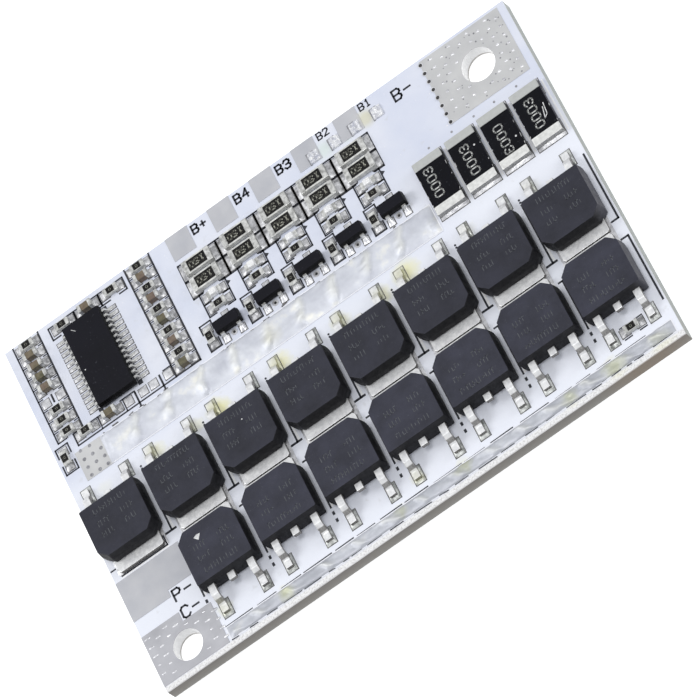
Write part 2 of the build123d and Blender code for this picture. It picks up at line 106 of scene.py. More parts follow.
# the two wire holes, from the record: x, y and radius
holes = [(mount["pos_m"][0] / MM, mount["pos_m"][1] / MM, mount["dims"]["r_mm"])
         for mount in frame["record"]["mounts"] if mount["kind"] == "bore"]

REAR_FETS = range(1, 9)
FRONT_FETS = range(9, 16)
FETS = (*REAR_FETS, *FRONT_FETS)
SHUNTS = range(1, 5)

# where flux dried: x, y, radius and how deep the tint is
FLUX_SPOTS = (
    (-20.60, 1.70, 1.30, 0.55), (-15.90, 1.40, 1.00, 0.35), (-13.05, 1.55, 1.60, 0.85),
    (-5.70, 1.80, 1.45, 0.80), (1.35, 1.80, 1.35, 0.55), (6.35, 1.45, 1.20, 0.55),
    (9.25, 2.05, 1.80, 0.75), (-5.25, 4.70, 1.50, 0.35), (-26.90, 1.60, 1.10, 0.15),
    (16.40, 1.70, 1.20, 0.15), (23.70, 1.70, 1.20, 0.15), (-15.10, -19.45, 1.10, 0.50),
    (-1.80, -19.40, 0.90, 0.35), (5.60, -19.20, 1.10, 0.40), (17.40, -19.80, 1.20, 0.40),
    (22.60, -19.70, 1.50, 0.45), (-21.30, -17.20, 1.00, 0.45), (1.15, -17.30, 0.90, 0.45),
    (12.70, 19.25, 1.00, 0.35), (27.60, -20.40, 1.60, 0.25))
# how much a height counts in the distance from such a spot
STAIN_CLIMB = 0.45

# where clear gum and old flux lie beside the taps: x, y, radius, soft rim and colour
SMEARS = ((12.85, 19.00, 0.45, 0.80, (0.85, 0.84, 0.76)),
          (7.75, 18.80, 0.40, 0.90, (0.86, 0.90, 0.89)),
          (10.30, 18.70, 0.30, 0.60, (0.84, 0.88, 0.87)))


# Shapes

# how far a mark goes into the surface that it lies on
SINK = 0.01


def on(level, proud, sink=SINK):
    """The lowest and highest z of a mark that lies on a level."""
    return level - sink, level + proud


PRINT = on(board_top, 0.02)
# how proud a flat mark stands
FLAT = 0.012


def rectangle(x, y, half_x, half_y):
    """The corners of a rectangle round a centre, anticlockwise."""
    return [(x - half_x, y - half_y), (x + half_x, y - half_y),
            (x + half_x, y + half_y), (x - half_x, y + half_y)]


def circle(x, y, radius, sides):
    return [(x + radius * math.cos(math.tau * i / sides),
             y + radius * math.sin(math.tau * i / sides)) for i in range(sides)]


def band(sides, first, second):
    """The faces between two loops of as many sides, told by their numbers in a piece."""
    return [(first * sides + i, first * sides + (i + 1) % sides,
             second * sides + (i + 1) % sides, second * sides + i) for i in range(sides)]


def into_scene(name, data):
    thing = bpy.data.objects.new(name, data)
    bpy.context.scene.collection.objects.link(thing)
    return thing


class Shape:
    """Gathers the faces of one piece. Levels are its lowest and highest z."""

    def __init__(self):
        self.points = []
        self.faces = []

    def add(self, points, faces):
        start = len(self.points)
        self.points += points
        self.faces += [[start + index for index in face] for face in faces]

    def prism(self, outline, levels=PRINT):
        """A closed prism over an anticlockwise outline of (x, y)."""
        count = len(outline)
        self.add([(*spot, z) for z in levels for spot in outline],
                 band(count, 0, 1) + [range(count, 2 * count), reversed(range(count))])

    def rule(self, start, end, width, levels=PRINT):
        """A straight line between two points, with square ends."""
        along = (Vector(end) - Vector(start)).normalized() * width / 2
        across = Vector((-along.y, along.x))
        a, b = Vector(start) - along, Vector(end) + along
        self.prism([tuple(corner) for corner in (a - across, b - across, b + across, a + across)],
                   levels)

    def lines(self, width, *ends):
        """Printed lines, each from its own x, y to x, y."""
        for x1, y1, x2, y2 in ends:
            self.rule((x1, y1), (x2, y2), width)

    def disc(self, x, y, radius, levels=PRINT, sides=16):
        self.prism(circle(x, y, radius, sides), levels)

    def ring(self, x, y, inner, outer, levels, sides=16):
        """A flat closed ring. Its four rims are numbered inner low, outer low, inner high, outer high."""
        points = [(*spot, z) for z in levels for radius in (inner, outer)
                  for spot in circle(x, y, radius, sides)]
        self.add(points, [face for pair in ((1, 3), (3, 2), (2, 0), (0, 1))
                          for face in band(sides, *pair)])

    def field(self, low, high, cells, lift, floor):
        """A closed patch over a rectangle. lift(u, v) is its height above the floor."""
        nx, ny = cells
        top, bottom = [], []
        for u, v in ((i / nx, j / ny) for j in range(ny + 1) for i in range(nx + 1)):
            x, y = low[0] + (high[0] - low[0]) * u, low[1] + (high[1] - low[1]) * v
            top.append((x, y, floor + lift(u, v)))
            bottom.append((x, y, floor - SINK))
        row, size = nx + 1, (nx + 1) * (ny + 1)
        faces = []
        for a in (j * row + i for j in range(ny) for i in range(nx)):
            cell = (a, a + 1, a + row + 1, a + row)
            faces += [cell, tuple(size + corner for corner in reversed(cell))]
        rim = [*range(nx), *range(nx, ny * row + nx, row), *range(ny * row + nx, ny * row, -1),
               *range(ny * row, 0, -row)]
        for a, b in zip(rim, rim[1:] + rim[:1]):
            faces.append((size + a, size + b, b, a))
        self.add(top + bottom, faces)

    def dome(self, x, y, radius_x, radius_y, low, height, rings=4, sides=18, wobble=0.0):
        """A low round cap, with a rim that wanders by a share of its radius."""
        compass = circle(0, 0, 1, sides)
        reach = [1 + wobble * noise.noise(Vector((x + cos, y + sin, 3.1))) for cos, sin in compass]
        points = []
        for level in range(rings):
            tilt = math.pi / 2 * level / rings
            points += [(x + radius_x * share * math.cos(tilt) * cos,
                        y + radius_y * share * math.cos(tilt) * sin,
                        low + height * math.sin(tilt)) for share, (cos, sin) in zip(reach, compass)]
        points.append((x, y, low + height))
        faces = [face for ring in range(rings - 1) for face in band(sides, ring, ring + 1)]
        last = (rings - 1) * sides
        faces += [(last + i, last + (i + 1) % sides, rings * sides) for i in range(sides)]
        self.add(points, faces + [reversed(range(sides))])

    def piece(self, name, material, slot=None):
        """Makes the piece, smooth where its faces turn by less than 50 degrees.

        It rides on the board.
        """
        mesh = bpy.data.meshes.new(name)
        mesh.from_pydata([Vector(point) * MM for point in self.points], [], self.faces)
        mesh.materials.append(material)
        mesh.polygons.foreach_set("use_smooth", [True] * len(mesh.polygons))
        mesh.set_sharp_from_angle(angle=math.radians(50))
        thing = into_scene(name, mesh)
        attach(thing, "root")
        return thing


# Finishes

# most of the noise lies between these two values
NOISE_LOW, NOISE_HIGH = 0.3, 0.7
# the width over which one zone of a paint turns into the next
ZONE_EDGE = 0.3


def seen(red, green, blue):
    """A colour as a screen shows it, turned into linear values by the sRGB curve."""
    return tuple(c / 12.92 if c < 0.04045 else ((c + 0.055) / 1.055) ** 2.4
                 for c in (red, green, blue)) + (1.0,)


class Paint:
    """A node material. Noise is in features per mm and bumps are in mm."""

    def __init__(self, name, **sockets):
        self.material = bpy.data.materials.new(name)
        self.material.use_nodes = True
        self.nodes = self.material.node_tree.nodes
        self.links = self.material.node_tree.links
        self.shader = self.nodes["Principled BSDF"]
        for socket, value in sockets.items():
            self.shader.inputs[socket.replace("_", " ")].default_value = value
        self.place = self.node("ShaderNodeTexCoord", "Object")

    def fill(self, socket, value):
        """Links an output to a socket, or sets the socket to a number or a colour."""
        if isinstance(value, bpy.types.NodeSocket):
            self.links.new(value, socket)
        else:
            socket.default_value = seen(*value) if isinstance(value, tuple) else value

    def node(self, kind, output, *values, **sockets):
        """Makes a node, fills its first sockets and its named ones, and gives an output."""
        node = self.nodes.new(kind)
        for socket, value in zip(node.inputs, values):
            self.fill(socket, value)
        for name, value in sockets.items():
            self.fill(node.inputs[name], value)
        return node.outputs[output]

    def scaled(self, *shares):
        """The place in mm, with x, y and z each counted by a share."""
        return self.node("ShaderNodeMapping", "Vector", self.place,
                         Scale=[share / MM for share in shares])

    def noise(self, per_mm, detail=3.0, stretch=(1, 1, 1)):
        place = self.scaled(*(per_mm * share for share in stretch))
        return self.node("ShaderNodeTexNoise", "Fac", place, Scale=1.0, Detail=detail)

    def ramp(self, value, *stops):
        """Turns a value into the colours of (position, colour) stops."""
        colour = self.node("ShaderNodeValToRGB", "Color", value)
        elements = colour.node.color_ramp.elements
        while len(elements) < len(stops):
            elements.new(0.5)
        for element, (position, shade) in zip(elements, stops):
            element.position = position
            element.color = seen(*shade)
        return colour

    def mix(self, share, first, second):
        node = self.nodes.new("ShaderNodeMix")
        node.data_type = "RGBA"
        for socket, value in zip((0, 6, 7), (share, first, second)):
            self.fill(node.inputs[socket], value)
        return node.outputs[2]

    def calculate(self, operation, *values):
        result = self.node("ShaderNodeMath", 0, *values)
        result.node.operation = operation
        return result

    def spread(self, value, low, high, to_low=0.0, to_high=1.0):
        """Maps a value from one range to another, clamped."""
        return self.node("ShaderNodeMapRange", 0, value, low, high, to_low, to_high)

    def mingle(self, per_mm, dark, light, detail=3.0, low=NOISE_LOW, high=NOISE_HIGH,
               stretch=(1, 1, 1)):
        """Two colours mingled by noise."""
        return self.ramp(self.noise(per_mm, detail, stretch), (low, dark), (high, light))

    def patches(self, per_mm, detail, start, full, most=1.0):
        """Scattered patches: 0 where the noise is under the start, the most where it is full."""
        return self.spread(self.noise(per_mm, detail), start, full, 0.0, most)

    def facing(self, axis):
        """How far the surface faces along x, y or z, from 0 to 1."""
        normal = self.node("ShaderNodeNewGeometry", "Normal")
        return self.calculate("ABSOLUTE", self.node("ShaderNodeSeparateXYZ", axis, normal))

    def coordinate(self, axis):
        """The place along x, y or z, in mm."""
        part = self.node("ShaderNodeSeparateXYZ", axis, self.place)
        return self.calculate("DIVIDE", part, MM)

    def distance(self, place, x, y, z=0.0):
        """How far a place is from a point. Both are vectors in mm."""
        node = self.nodes.new("ShaderNodeVectorMath")
        node.operation = "DISTANCE"
        self.fill(node.inputs[0], place)
        self.fill(node.inputs[1], [x, y, z])
        return node.outputs["Value"]

    def near(self, x, y, radius, soft, most=1.0):
        """The most within a radius of a point, falling to 0 over a soft rim."""
        return self.spread(self.distance(self.scaled(1, 1, 0), x, y), radius, radius + soft,
                           most, 0.0)

    def stained(self, colour, strength, tint=(0.93, 0.91, 0.62)):
        """Tints a colour round the spots where flux dried, with a soft wandering rim."""
        place = self.scaled(1, 1, STAIN_CLIMB)
        wander = self.spread(self.noise(0.9), NOISE_LOW, NOISE_HIGH, -0.30, 0.30)
        deepest = 0.0
        for x, y, radius, depth in FLUX_SPOTS:
            reach = self.calculate("ADD", self.distance(place, x, y, STAIN_CLIMB * seat), wander)
            share = self.spread(reach, 0.25 * radius, radius, depth * strength, 0.0)
            deepest = self.calculate("MAXIMUM", deepest, share)
        return self.mix(deepest, colour, tint)

    def finished(self, colour, bump, roughness=None, detail=3.0):
        """Bump is (per mm, depth) and roughness, where it varies, (per mm, least, most)."""
        self.links.new(colour, self.shader.inputs["Base Color"])
        if roughness:
            per_mm, least, most = roughness
            rough = self.spread(self.noise(per_mm, detail), NOISE_LOW, NOISE_HIGH, least, most)
            self.links.new(rough, self.shader.inputs["Roughness"])
        per_mm, depth = bump
        normal = self.node("ShaderNodeBump", "Normal", Distance=depth * MM,
                           Height=self.noise(per_mm, detail))
        self.links.new(normal, self.shader.inputs["Normal"])
        return self.material


def laminate(paint, height):
    """Sawn glass fibre in layers, greener on the short sides and brown at the front right."""
    # the sawn edge is paler at its foot and darker upwards; the white band at the top is a painted
    # highlight along the top edge
    glass = paint.ramp(
        paint.spread(height, 0.0, board_top), (0.0, (0.80, 0.80, 0.78)), (0.14, (0.56, 0.55, 0.53)),
        (0.55, (0.47, 0.45, 0.43)), (0.88, (0.38, 0.36, 0.35)), (0.91, (0.95, 0.95, 0.95)))
    layers = paint.spread(paint.noise(1.0, 3.0, (0.5, 0.5, 9.0)), NOISE_LOW, NOISE_HIGH, 0.0, 0.45)
    glass = paint.mix(layers, glass, (0.52, 0.50, 0.46))
    short_side = paint.spread(paint.facing(0), 0.5, 0.7, 0.0, 0.6)
    glass = paint.mix(short_side, glass, (0.60, 0.64, 0.63))
    return paint.mix(paint.near(25.5, -21.0, 1.5, 4.0, 0.55), glass, (0.52, 0.44, 0.34))


def mask_paint():
    """White solder mask on a glass-fibre board, with bare laminate on its sawn edges."""
    # painted light: the top of the mask is painted whiter towards the front and towards the right, as if
    # more light fell there
    painted_light_front, painted_light_right, painted_light_right_rear = (2.0, 4.8), (4.0, 18.0), (7.0, 12.0)
    rough_front = (-20.55, -20.30)
    tinned_ring = 1.3
    paint = Paint("white_solder_mask", Roughness=0.42)
    x, y, z = (paint.coordinate(axis) for axis in range(3))
    plain = paint.mix(paint.patches(3.2, 2.0, 0.70, 0.78),
                      paint.mingle(0.16, (0.84, 0.86, 0.925), (0.90, 0.91, 0.95)),
                      (0.95, 0.95, 0.97))
    # the painted light from the right, fading out towards the rear
    right = paint.calculate("MULTIPLY", paint.spread(x, *painted_light_right, 0.0, 0.9),
                            paint.spread(y, *painted_light_right_rear, 1.0, 0.0))
    painted_light = paint.calculate("MAXIMUM", paint.spread(y, *painted_light_front, 0.85, 0.0), right)
    white = paint.mix(painted_light, plain, (0.955, 0.965, 1.0))
    rough = paint.mingle(5.0, (0.82, 0.81, 0.80), (0.96, 0.955, 0.95), low=0.36, high=0.56)
    white = paint.mix(paint.spread(y, *rough_front, 0.85, 0.0), white, rough)
    grime = paint.patches(0.9, 4.0, 0.66, 0.80, 0.5)
    white = paint.stained(paint.mix(grime, white, (0.80, 0.80, 0.80)), 0.85)
    for *spot, tint in SMEARS:
        white = paint.mix(paint.near(*spot, 0.85), white, tint)
    # the zones and stains are on the top face alone
    white = paint.mix(paint.spread(z, 0.4 * board_top, 0.6 * board_top), plain, white)
    colour = paint.mix(paint.spread(paint.facing(2), 0.4, 0.6), laminate(paint, z), white)
    underneath = paint.spread(z, 0.2, 0.3, 1.0, 0.0)
    for hole_x, hole_y, radius in holes:
        # the hole walls are painted pure white, a painted highlight brighter than their plated tin
        colour = paint.mix(paint.near(hole_x, hole_y, radius + 0.01, 0.01), colour, (1, 1, 1))
        ring = paint.near(hole_x, hole_y, radius + tinned_ring, 0.02)
        colour = paint.mix(paint.calculate("MULTIPLY", ring, underneath), colour,
                           (0.78, 0.77, 0.75))
    return paint.finished(colour, (2.2, 0.02))


def tin_paint(name, dark, light, grain, rough, bump=0.02, metal=0.7, stain=0.0, pale_from=None):
    """Tinned metal or solder, with a soft grain and, where asked, dried flux.

    From an x of pale_from on, it is as pale as the mask beside it.
    """
    paint = Paint(name, Metallic=metal)
    colour = paint.mingle(grain, dark, light, 4.0)
    if pale_from is not None:
        pale = paint.spread(paint.coordinate(0), pale_from, pale_from + ZONE_EDGE, 0.0, 0.95)
        colour = paint.mix(pale, colour, (0.95, 0.955, 0.98))
    if stain:
        colour = paint.stained(colour, stain)
    return paint.finished(colour, (grain * 2.5, bump), (grain * 1.7, rough - 0.08, rough + 0.08))


def tab_paint(name, dark, light, shaded_side_dark, shaded_side_light, steep, level, stain=0.0,
              grey_from=None):
    """Matt tin with a fine grain; the cut ends, bends and sides are darker, as cut metal and as painted
    shade.

    From a y of grey_from on, the flats are greyer too.
    """
    paint = Paint(name, Metallic=0.45)
    grain = paint.mingle(2.6, dark, light, 4.0, 0.28, 0.70)
    # the steep faces: cut metal, darkened further as painted shade
    cut = paint.mingle(3.0, shaded_side_dark, shaded_side_light, stretch=(4, 1, 1))
    if grey_from is not None:
        rear = paint.spread(paint.coordinate(1), grey_from, grey_from + ZONE_EDGE, 0.0, 0.75)
        grain = paint.mix(rear, grain, (0.72, 0.73, 0.72))
    colour = paint.mix(paint.spread(paint.facing(2), steep, level), cut, grain)
    if stain:
        colour = paint.stained(colour, stain, (0.84, 0.83, 0.62))
    return paint.finished(colour, (4.0, 0.008), (4.0, 0.34, 0.48))


def bar_paint(name, dark, light, patch, stain, tint):
    """Hand-laid solder: dull flats and crests painted paler as a highlight, stained by flux."""
    paint = Paint(name, Metallic=0.35)
    flats = paint.ramp(paint.noise(0.45, 5.0), (0.30, dark), (0.58, light), (0.72, patch))
    # painted highlight: the crests are painted paler with their height
    crest = paint.spread(paint.coordinate(2), seat + 0.18, seat + 0.42, 0.0, 0.50)
    colour = paint.stained(paint.mix(crest, flats, (0.91, 0.91, 0.88)), stain, tint)
    return paint.finished(colour, (0.9, 0.012), (0.6, 0.42, 0.58))


def moulding_paint(name, top, shaded_side, grain=7.0, bump=0.018, rough=0.6, shine=0.3):
    """Black moulding compound: a fine grain, cloudy where it was handled.

    The sides that face the board's right edge are painted lighter: painted light falling from the right.
    """
    rear_row, right_edge = (-8.0, -6.0), (28.3, 28.9)
    paint = Paint(name, Roughness=rough, Specular_IOR_Level=shine)
    crown = paint.mingle(0.45, top, tuple(c * 1.28 for c in top), 4.0)
    crown = paint.mix(paint.patches(4.5, 2.0, 0.66, 0.80, 0.4), crown, (0.36, 0.37, 0.40))
    rear = paint.spread(paint.coordinate(1), *rear_row, 0.0, 0.30)
    crown = paint.mix(rear, crown, (0.09, 0.09, 0.11))
    # painted light: the sides by the board's right edge are painted lighter, as light from the right
    # falls on them
    lit_right_sides = paint.mix(paint.spread(paint.coordinate(0), *right_edge), shaded_side, (0.26, 0.26, 0.29))
    # painted shade: every side is painted darker than the top
    colour = paint.mix(paint.spread(paint.facing(2), 0.5, 0.9), lit_right_sides, crown)
    return paint.finished(colour, (grain, bump), (2.0, rough - 0.1, rough + 0.1))


def plain_paint(name, dark, light, grain, rough, bump, **sockets):
    """A painted, printed or fired surface that varies a little."""
    paint = Paint(name, **sockets)
    colour = paint.mingle(grain, dark, light, low=0.32, high=0.68)
    return paint.finished(colour, (grain * 3.0, bump), (grain * 2.0, rough - 0.06, rough + 0.06),
                          2.0)


def ceramic_paint():
    """Fired ceramic, olive on one capacitor and rosy brown on the next."""
    paint = Paint("capacitor_ceramic")
    batch = paint.ramp(paint.noise(0.42, 1.0), (0.38, (0.32, 0.31, 0.22)),
                       (0.50, (0.40, 0.36, 0.28)), (0.62, (0.41, 0.34, 0.30)))
    colour = paint.mix(paint.patches(2.6, 3.0, 0.35, 0.70, 0.4), batch, (0.56, 0.52, 0.44))
    return paint.finished(colour, (5.0, 0.01), (3.0, 0.40, 0.55), 2.0)


mask = mask_paint()
PALE_TIN = ((0.775, 0.775, 0.78), (0.825, 0.825, 0.825), 0.4, 0.50, 0.012)
pad_tin = tin_paint("levelled_tin", *PALE_TIN, 0.3)
bus_tin = tin_paint("bus_tin", *PALE_TIN, 0.1, pale_from=box_of("rear_solder_bar")[0].x)
tap_tin = tin_paint(
    "tap_tin", (0.735, 0.74, 0.765), (0.795, 0.795, 0.81), 0.4, 0.50, 0.012, 0.3, 0.5)
land_tin = tin_paint("land_tin", (0.80, 0.80, 0.81), (0.94, 0.94, 0.94), 1.6, 0.36, 0.012, 0.5)
c_pad_tin = tin_paint("worn_tin", (0.69, 0.69, 0.71), (0.77, 0.77, 0.79), 0.4, 0.52, 0.012, 0.3)
solder = tin_paint("solder", (0.72, 0.72, 0.74), (0.99, 0.99, 1.0), 1.6, 0.34, 0.02, 0.5, 0.6)
part_fillet = tin_paint(
    "part_fillet", (0.50, 0.50, 0.51), (0.94, 0.94, 0.95), 1.9, 0.40, 0.02, 0.4)
foot_fillet = tin_paint(
    "foot_fillet", (0.44, 0.45, 0.44), (0.93, 0.94, 0.93), 1.7, 0.38, 0.02, 0.4, 0.5)
rear_solder = bar_paint("rear_bar_solder", (0.79, 0.80, 0.84), (0.87, 0.88, 0.91),
                        (0.97, 0.965, 0.94), 0.6, (0.93, 0.91, 0.74))
front_solder = bar_paint("front_bar_solder", (0.70, 0.71, 0.74), (0.80, 0.81, 0.84),
                         (0.88, 0.88, 0.89), 1.4, (0.74, 0.75, 0.60))
frame_tin = tab_paint("lead_frame_tin", (0.89, 0.89, 0.90), (1.0, 1.0, 1.0), (0.36, 0.35, 0.34),
                      (0.62, 0.61, 0.60), 0.45, 0.93, 0.6)
shunt_cap_tin = tab_paint(
    "shunt_cap_tin", (0.86, 0.86, 0.85), (0.98, 0.98, 0.97), (0.50, 0.50, 0.50),
    (0.80, 0.80, 0.79), 0.3, 0.9, grey_from=middle(box_of("shunt_end_caps")).y)
pin_tin = tin_paint("pin_tin", (0.80, 0.80, 0.79), (0.97, 0.97, 0.96), 2.5, 0.30)
cap_tin = tin_paint("end_cap_tin", (0.62, 0.62, 0.61), (0.95, 0.95, 0.94), 2.3, 0.44)
moulding = moulding_paint("transistor_moulding", (0.175, 0.178, 0.218), (0.075, 0.075, 0.095))
chip_moulding = moulding_paint(
    "chip_moulding", (0.065, 0.065, 0.095), (0.03, 0.03, 0.04), 8.0, 0.008, 0.5, 0.14)
shunt_coat = moulding_paint(
    "shunt_coat", (0.055, 0.058, 0.075), (0.05, 0.05, 0.065), 5.0, 0.008, 0.45, 0.08)
coat = plain_paint("resistor_coat", (0.06, 0.06, 0.06), (0.13, 0.12, 0.12), 3.0, 0.45, 0.01,
                   Specular_IOR_Level=0.2)
core = plain_paint("resistor_core", (0.74, 0.74, 0.73), (0.90, 0.90, 0.88), 2.5, 0.5, 0.01)
ceramic = ceramic_paint()
resin = plain_paint("lamp_resin", (0.90, 0.91, 0.92), (1.0, 1.0, 1.0), 2.0, 0.30, 0.01)
lens = plain_paint("clear_resin", (0.97, 0.97, 0.98), (1.0, 1.0, 1.0), 3.0, 0.16, 0.05,
                   Transmission_Weight=0.10, IOR=1.5)
ink = plain_paint("legend_ink", (0.07, 0.075, 0.10), (0.20, 0.21, 0.25), 3.5, 0.5, 0.004)
white_ink = plain_paint("numeral_ink", (0.62, 0.63, 0.62), (0.86, 0.86, 0.85), 5.0, 0.5, 0.002)
faded_ink = plain_paint(
    "faded_numeral_ink", (0.40, 0.40, 0.37), (0.66, 0.66, 0.61), 5.0, 0.5, 0.002)
# pure white for the strips of painted light in the shaded gaps
painted_light_white = plain_paint("white_legend_ink", (0.97, 0.97, 0.98), (1.0, 1.0, 1.0), 2.0, 0.5, 0.003)
# painted highlight: the white in the gum's mingled colour stands for light caught on the drops
gum = plain_paint(
    "clear_gum", (0.74, 0.75, 0.80), (1.0, 1.0, 1.0), 3.2, 0.20, 0.05, Coat_Weight=0.4)
laser_mark = plain_paint("laser_mark", (0.19, 0.20, 0.22), (0.34, 0.35, 0.37), 3.0, 0.6, 0.002)
pit = plain_paint("via_hole", (0.10, 0.10, 0.11), (0.26, 0.25, 0.25), 4.0, 0.6, 0.002)
grey_via = plain_paint("masked_via", (0.46, 0.46, 0.48), (0.66, 0.66, 0.68), 4.0, 0.5, 0.004)
chalk = plain_paint("scratch", (0.74, 0.74, 0.74), (0.95, 0.95, 0.95), 4.0, 0.6, 0.01)
# the rims round the lands use it darker than bare laminate, as painted shade
bare = plain_paint("bare_laminate", (0.28, 0.27, 0.27), (0.50, 0.49, 0.48), 2.0, 0.6, 0.005)
die = plain_paint("lamp_die", (0.80, 0.78, 0.45), (0.95, 0.93, 0.70), 6.0, 0.4, 0.004)


def dress(node, material, edge):
    """Gives a node its finish and, where asked, rounds its sharp edges as a mould leaves them."""
    thing = cad_nodes[node]
    thing.data.materials.clear()
    thing.data.materials.append(material)
    if edge:
        weld = thing.modifiers.new("weld", "WELD")
        weld.merge_threshold = WELD
        bevel = thing.modifiers.new("edge", "BEVEL")
        bevel.width = edge * MM
        bevel.segments = 2
        bevel.limit_method = "ANGLE"
        bevel.angle_limit = math.radians(28)


for finish, edge, *nodes in (
        (mask, 0, "circuit_board"), (bus_tin, 0, "bus_lands"), (resin, 0, "balance_lamp_bases"),
        (land_tin, 0, "drain_lands", "lead_lands", "shunt_lands", "small_part_lands"),
        (pin_tin, 0, "monitor_chip_leads", "balance_transistor_leads"),
        (core, 0, "bleed_resistor_bodies", "chip_resistor_bodies"),
        (pad_tin, 0.015, "b_minus_pad"), (c_pad_tin, 0.015, "c_minus_pad"),
        (tap_tin, 0.015, "p_minus_pad", "cell_tap_pads"),
        (chip_moulding, 0.06, "monitor_chip_body"),
        (chip_moulding, 0.05, "balance_transistor_bodies"),
        (cap_tin, 0.05, "bleed_resistor_end_caps", "chip_part_end_caps"),
        (cap_tin, 0.03, "balance_lamp_end_caps"), (lens, 0.08, "balance_lamp_lenses"),
        (ceramic, 0.03, "chip_capacitor_bodies"), (shunt_cap_tin, 0.08, "shunt_end_caps"),
        (moulding, 0.12, *(f"power_transistor_body_{number:02d}" for number in FETS)),
        (frame_tin, 0.05, *(f"power_transistor_frame_{number:02d}" for number in FETS)),
        (shunt_coat, 0.04, *(f"shunt_body_{number}" for number in SHUNTS))):
    for node in nodes:
        dress(node, finish, edge)

fets = {number: box_of(f"power_transistor_body_{number:02d}") for number in FETS}
shunts = {number: box_of(f"shunt_body_{number}") for number in SHUNTS}


# Solder

# how far under the top of a land its solder starts
SKIN = 0.005
# the least height of a bar's rim
RIM = 0.004


def fbm(x, y, z=0.0):
    """Smooth wandering from about -1 to 1."""
    return noise.fractal(Vector((x, y, z)), 1.0, 2.0, 3)


def rear_crest(x, y, across, low, high):
    """The broad hand-laid bar: dull flats between leaning ridges, with a ragged rear edge."""
    pitch, first_ridge = 3.93, low.x + 3.93
    flat, ridge, steep_right, steep_left = 0.15, 0.27, 0.32, 0.72
    ragged = 0.10 * fbm(x * 1.3, 4.0) + 0.05 * fbm(x * 3.7, 9.0)
    if across > 0:
        rim = max(0.0, 1 - abs(across + ragged) ** 6) ** 0.5
    else:
        rim = max(0.0, 1 - abs(across + ragged * 0.4) ** 3) ** 1.2
    lean = 0.27 * (y - (low.y + high.y) / 2) + 0.25 * fbm(y * 0.9, x * 0.2, 7.0)
    nearest = round((x - lean - first_ridge) / pitch)
    gap = x - lean - first_ridge - nearest * pitch
    swell = ridge * (1 + 0.35 * fbm(nearest * 3.1, y * 0.8))
    height = flat * (1 + 0.30 * fbm(x * 0.4, y * 0.5)) + 0.020 * fbm(x * 1.5, y * 1.5, 2.0)
    height += swell * math.exp(-(gap / (steep_right if gap > 0 else steep_left)) ** 2)
    return height * rim


def front_crest(x, y, across, low, high):
    """The narrow bar: a row of flat blobs between leaning ridges, lumpy at its right end."""
    pitch, flat, ridge = 3.8, 0.17, 0.17
    lumpy_from, lump, small_lump = 17, 0.16, 0.04
    across += 0.12 * fbm(x * 0.8, 1.0)
    turn = math.tau * (x - low.x + 0.9 * fbm(x * 0.3, 5.0)) / pitch
    wave = (0.5 + 0.5 * math.cos(turn + 1.3 * across)) ** 6
    rim = max(0.0, 1 - abs(across * (1 + 0.16 * wave)) ** 4)
    height = flat + ridge * wave + 0.04 * fbm(x * 0.9, y * 1.5)
    height += max(0.0, fbm(x * 0.7, y * 1.4, 4.0)) * (lump if x > lumpy_from else small_lump)
    return height * rim ** 0.5


def solder_bar(node, name, finish, cells, crest, taper):
    """Lays a hand-laid bar in the place of a plain one. Its ends taper, in heights per mm."""
    low, high = box_of(node)
    size = high - low

    def lift(u, v):
        ends = min(1.0, taper * min(u, 1 - u) * size.x)
        x, y = low.x + size.x * u, low.y + size.y * v
        return max(RIM, crest(x, y, 2 * v - 1, low, high) * ends)

    shape = Shape()
    shape.field(low, high, cells, lift, seat)
    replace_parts(shape.piece(name, finish, "solder"), node)


def mound(shape, box, away, height, cells=(7, 7)):
    """Solder on one land. It climbs towards the part and thins out to the land's rim."""
    low, high = box

    def lift(u, v):
        if abs(away[0]) > abs(away[1]):
            along, across = (u if away[0] > 0 else 1 - u), 2 * v - 1
        else:
            along, across = (v if away[1] > 0 else 1 - v), 2 * u - 1
        rise = min(1.0, 4 * along) * (1 - along) ** 1.1
        wander = 1 + 0.35 * fbm(low.x + 2 * u, low.y + 2 * v)
        return 0.008 + max(0.0, 1.25 * height * rise * (1 - abs(across) ** 4) * wander)

    shape.field(low, high, cells, lift, high.z - SKIN)


def outward(centre, parts):
    """The direction from the nearest part to a land, along the axis that it lies off."""
    off = centre - min(parts, key=lambda part: (part - centre).xy.length)
    return (off.x, 0) if abs(off.x) > abs(off.y) else (0, off.y)


def part_solder():
    """Solder at the ends of every small part, and a low pillow on each empty land."""
    # the lands tell by their size what stands on them
    pin_length, bleed_width, transistor_length, far = 1.25, 1.5, 0.75, 1.0
    small = middles("chip_resistor_bodies", "chip_capacitor_bodies", "balance_lamp_lenses")
    bleed, transistors = middles("bleed_resistor_bodies"), middles("balance_transistor_bodies")
    ends, pins, empty = Shape(), Shape(), Shape()
    for box in islands("small_part_lands"):
        centre, size = middle(box), box[1] - box[0]
        if size.x > pin_length:
            away = (centre.x - middle(box_of("monitor_chip_body")).x, 0)
            mound(pins, box, away, 0.10, (8, 4))
        elif size.y > bleed_width:
            mound(ends, box, outward(centre, bleed), 0.34, (8, 8))
        elif size.x < transistor_length:
            mound(pins, box, outward(centre, transistors), 0.26)
        elif min((part - centre).xy.length for part in small) > far:
            mound(empty, box, (1, 0), 0.06)
        else:
            mound(ends, box, outward(centre, small), 0.24)
    ends.piece("small_part_solder", part_fillet, "solder")
    pins.piece("pin_solder", solder, "solder")
    empty.piece("empty_land_solder", solder, "solder")


